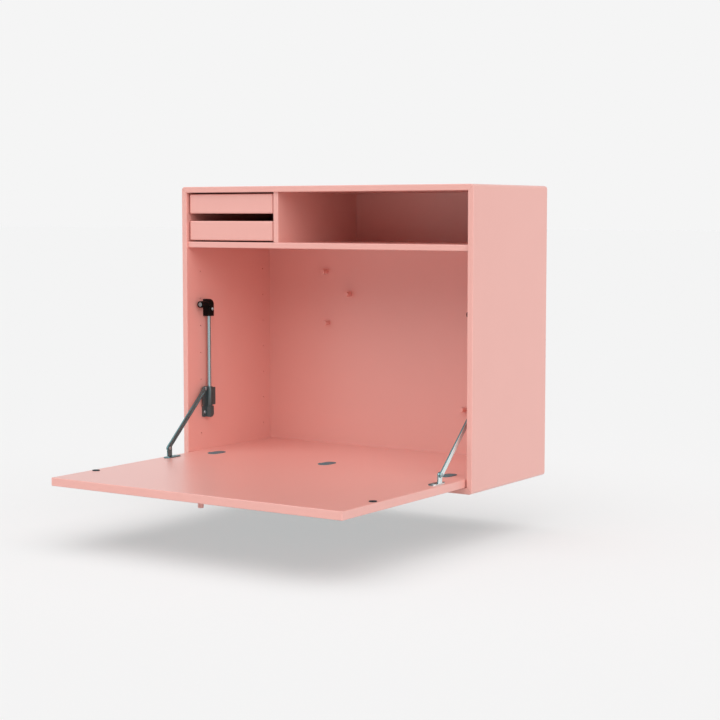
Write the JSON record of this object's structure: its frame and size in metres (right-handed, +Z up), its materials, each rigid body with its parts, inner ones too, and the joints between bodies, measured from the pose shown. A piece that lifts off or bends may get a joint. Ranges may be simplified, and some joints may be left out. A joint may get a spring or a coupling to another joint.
{
  "type": "fold down wall desk",
  "caption": "Shallow wall cabinet in pink lacquer whose front flap folds down on chrome stays into a desk top, with small trays and an open bay above the writing compartment.",
  "frame": {"origin": "midway between the two hanging holes, on the wall", "axes": "+X to the viewer's right, +Y into the wall, +Z up"},
  "size_m": [0.696, 0.7075, 0.5846],
  "materials": {
    "pink_lacquer": "satin lacquer on MDF",
    "chrome": "polished",
    "nickel": "satin nickel",
    "dark_zinc": "dark satin zinc",
    "zinc_plated_steel": "bright zinc",
    "magnet": "nickel plated",
    "black_plastic": "moulded, fine grain"
  },
  "bodies": {
    "cabinet": {"left_side": "pink_lacquer", "right_side": "pink_lacquer", "top_panel": "pink_lacquer", "bottom_panel": "pink_lacquer", "back_panel": "pink_lacquer", "shelf": "pink_lacquer", "divider": "pink_lacquer", "inner_floor": "pink_lacquer", "back_pegs": "pink_lacquer", "hanger_plates": "zinc_plated_steel", "hanger_screws": "zinc_plated_steel", "tray_runners": "pink_lacquer", "hinge_floor_leaves": "dark_zinc", "hinge_pins": "zinc_plated_steel", "left_stay_rod": "chrome", "right_stay_rod": "chrome", "left_rod_holder": "black_plastic", "right_rod_holder": "black_plastic", "left_rod_foot": "dark_zinc", "right_rod_foot": "dark_zinc", "stay_screws": "zinc_plated_steel", "catch_magnets": "magnet"},
    "flap": {"flap_panel": "pink_lacquer", "flap_knob": "pink_lacquer", "hinge_flap_leaves": "dark_zinc", "strike_discs": "dark_zinc", "left_flap_bracket": "nickel", "right_flap_bracket": "nickel", "bracket_rivets": "zinc_plated_steel", "bracket_screws": "zinc_plated_steel"},
    "left_arm": {"left_arm": "nickel", "left_arm_rivet": "zinc_plated_steel"},
    "right_arm": {"right_arm": "nickel", "right_arm_rivet": "zinc_plated_steel"},
    "left_slider": {"left_slider": "dark_zinc", "left_slider_bush": "black_plastic"},
    "right_slider": {"right_slider": "dark_zinc", "right_slider_bush": "black_plastic"},
    "upper_tray": {"upper_tray_front": "pink_lacquer", "upper_tray_left": "pink_lacquer", "upper_tray_right": "pink_lacquer", "upper_tray_back": "pink_lacquer", "upper_tray_base": "pink_lacquer"},
    "lower_tray": {"lower_tray_front": "pink_lacquer", "lower_tray_left": "pink_lacquer", "lower_tray_right": "pink_lacquer", "lower_tray_back": "pink_lacquer", "lower_tray_base": "pink_lacquer"}
  },
  "joints": [
    {"name": "flap_fold", "type": "hinge", "parent": "cabinet", "child": "flap", "pos_m": [0, -0.28, -0.5116], "axis": [-1, 0, 0], "range_deg": [0, 90]},
    {"name": "left_arm_pivot", "type": "hinge", "parent": "flap", "child": "left_arm", "pos_m": [-0.3266, -0.372, -0.494], "axis": [1, 0, 0], "range_deg": [0, 132.91]},
    {"name": "left_slider_run", "type": "slide", "parent": "cabinet", "child": "left_slider", "axis": [0, 0, 1], "range_m": [0, 0.1273]},
    {"name": "right_arm_pivot", "type": "hinge", "parent": "flap", "child": "right_arm", "pos_m": [0.3266, -0.372, -0.494], "axis": [1, 0, 0], "range_deg": [0, 132.91]},
    {"name": "right_slider_run", "type": "slide", "parent": "cabinet", "child": "right_slider", "axis": [0, 0, 1], "range_m": [0, 0.1273]},
    {"name": "upper_tray_slide", "type": "slide", "parent": "cabinet", "child": "upper_tray", "axis": [0, -1, 0], "range_m": [0, 0.2]},
    {"name": "lower_tray_slide", "type": "slide", "parent": "cabinet", "child": "lower_tray", "axis": [0, -1, 0], "range_m": [0, 0.2]}
  ],
  "couplings": [
    {"joint": "left_arm_pivot", "follows": "flap_fold", "ratio": 1.4768},
    {"joint": "left_slider_run", "follows": "flap_fold", "m_per_rad": 0.081039},
    {"joint": "right_arm_pivot", "follows": "flap_fold", "ratio": 1.4768},
    {"joint": "right_slider_run", "follows": "flap_fold", "m_per_rad": 0.081039}
  ]
}
